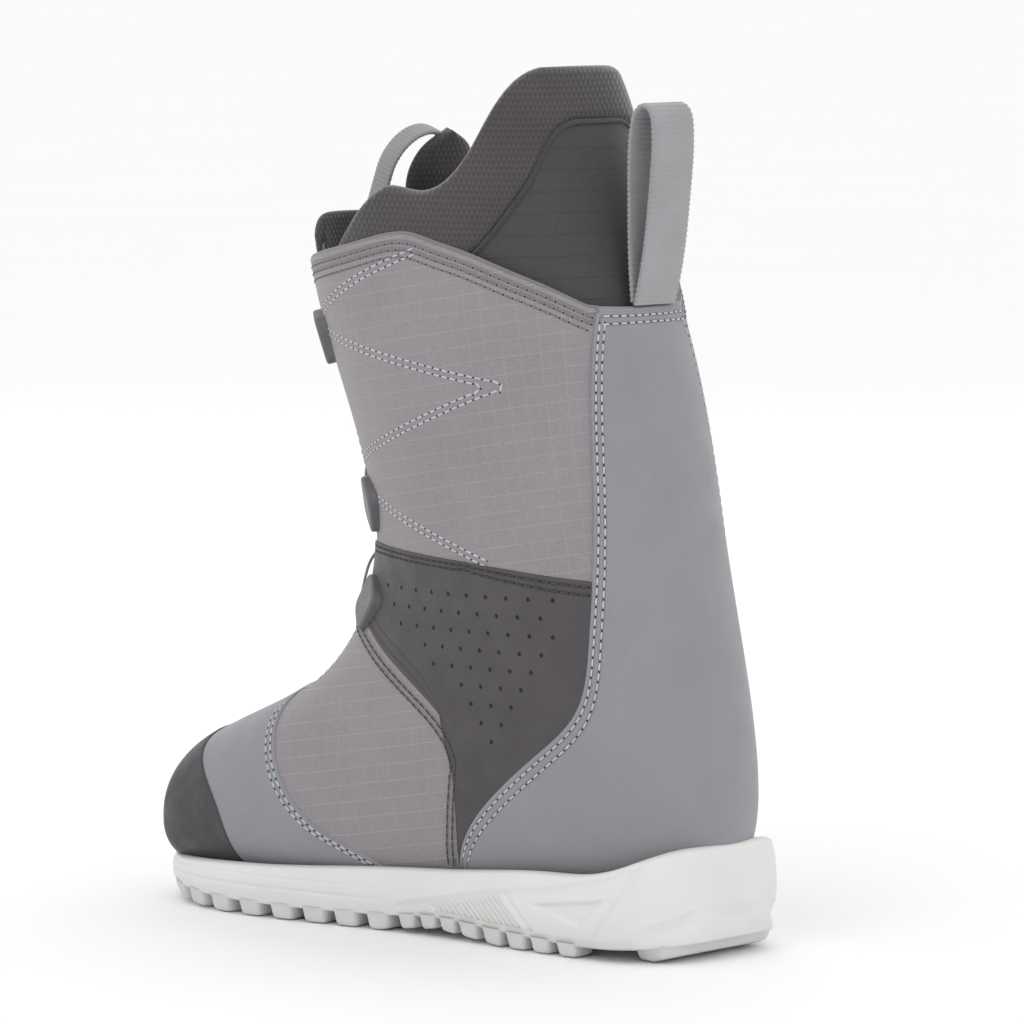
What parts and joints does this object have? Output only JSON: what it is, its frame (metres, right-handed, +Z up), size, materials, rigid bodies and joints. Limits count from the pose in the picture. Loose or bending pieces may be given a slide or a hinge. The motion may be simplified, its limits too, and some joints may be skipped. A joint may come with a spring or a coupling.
{
  "type": "snowboard boot",
  "caption": "Tall soft snowboard boot with a lugged sole, layered upper, padded removable liner, hinged tongue, pull loops and a cable closure dial.",
  "frame": {"origin": "centre of the heel tread's bottom face, on the ground", "axes": "+X towards the toe, +Y towards the medial (inner) side of this right boot, +Z up"},
  "size_m": [0.2908, 0.1265, 0.3518],
  "materials": {
    "sole_rubber": "matte moulded rubber",
    "sole_foam": "satin moulded foam",
    "gel": "soft gel",
    "shank_plate": "glass-filled plate",
    "board": "pressed fibre board",
    "toe_rubber": "matte dark rubber",
    "smooth_synthetic": "smooth coated synthetic",
    "ripstop_mauve": "ripstop weave",
    "perforated_dark": "matte perforated synthetic",
    "counter_plastic": "thermoplastic sheet",
    "liner_foam": "laminated foam",
    "liner_ripstop": "dark ripstop",
    "liner_knit": "bumpy knit",
    "insole": "brushed fabric on foam",
    "dial_plastic": "fine texture",
    "cable_steel": "coated cable",
    "guide_plastic": "satin",
    "tongue_fabric": "ripstop weave",
    "tongue_padding": "padded knit",
    "webbing": "ribbed webbing",
    "hub_plastic": "satin",
    "knob_plastic": "fine texture",
    "knob_rubber": "ribbed rubber"
  },
  "bodies": {
    "root": {"outsole": "sole_rubber", "midsole": "sole_foam", "heel_cushion": "gel", "shank": "shank_plate", "lasting_board": "board", "toe_cap": "toe_rubber", "vamp": "smooth_synthetic", "quarter_medial": "ripstop_mauve", "quarter_lateral": "ripstop_mauve", "ankle_panel_medial": "perforated_dark", "ankle_panel_lateral": "perforated_dark", "cuff_medial": "ripstop_mauve", "cuff_lateral": "ripstop_mauve", "backstay": "smooth_synthetic", "heel_counter": "counter_plastic", "liner_foot": "liner_foam", "liner_cuff": "liner_ripstop", "liner_collar": "liner_knit", "footbed": "insole", "dial_base": "dial_plastic", "lace": "cable_steel", "lace_guides_medial": "guide_plastic", "lace_guides_lateral": "guide_plastic"},
    "shell_tongue": {"shell_tongue": "tongue_fabric", "tongue_pad": "tongue_padding"},
    "liner_tongue": {"liner_tongue": "liner_knit"},
    "front_loop": {"front_loop": "webbing"},
    "heel_loop": {"heel_loop": "webbing"},
    "dial_hub": {"dial_hub": "hub_plastic"},
    "dial_knob": {"dial_knob": "knob_plastic", "dial_grip": "knob_rubber"},
    "dial_spool": {"dial_spool": "hub_plastic"}
  },
  "joints": [
    {"name": "shell_tongue_tilt", "type": "hinge", "parent": "root", "child": "shell_tongue", "pos_m": [0.1674, 0, 0.0942], "axis": [0, 1, 0], "range_deg": [0, 20], "deforming": ["lace"]},
    {"name": "liner_tongue_tilt", "type": "hinge", "parent": "root", "child": "liner_tongue", "pos_m": [0.16, 0, 0.0925], "axis": [0, 1, 0], "range_deg": [0, 12]},
    {"name": "front_loop_flop", "type": "hinge", "parent": "liner_tongue", "child": "front_loop", "pos_m": [0.1393, -0.009, 0.2894], "axis": [0, 1, 0], "range_deg": [0, 35], "stiffness_Nm_per_rad": 0.02},
    {"name": "heel_loop_flop", "type": "hinge", "parent": "root", "child": "heel_loop", "pos_m": [0.001, -0.0045, 0.254], "axis": [0, -1, 0], "range_deg": [0, 60], "stiffness_Nm_per_rad": 0.03},
    {"name": "dial_release", "type": "slide", "parent": "root", "child": "dial_hub", "axis": [0.3623, -0.9065, -0.2169], "range_m": [0, 0.0025]},
    {"name": "dial_turn", "type": "hinge", "parent": "dial_hub", "child": "dial_knob", "pos_m": [0.10384, -0.0481, 0.20758], "axis": [0.3623, -0.9065, -0.2169], "continuous": true},
    {"name": "spool_turn", "type": "hinge", "parent": "root", "child": "dial_spool", "pos_m": [0.10384, -0.0481, 0.20758], "axis": [0.3623, -0.9065, -0.2169], "continuous": true}
  ],
  "couplings": [
    {"joint": "liner_tongue_tilt", "follows": "shell_tongue_tilt", "ratio": 0.6},
    {"joint": "spool_turn", "follows": "dial_turn", "ratio": 1}
  ]
}
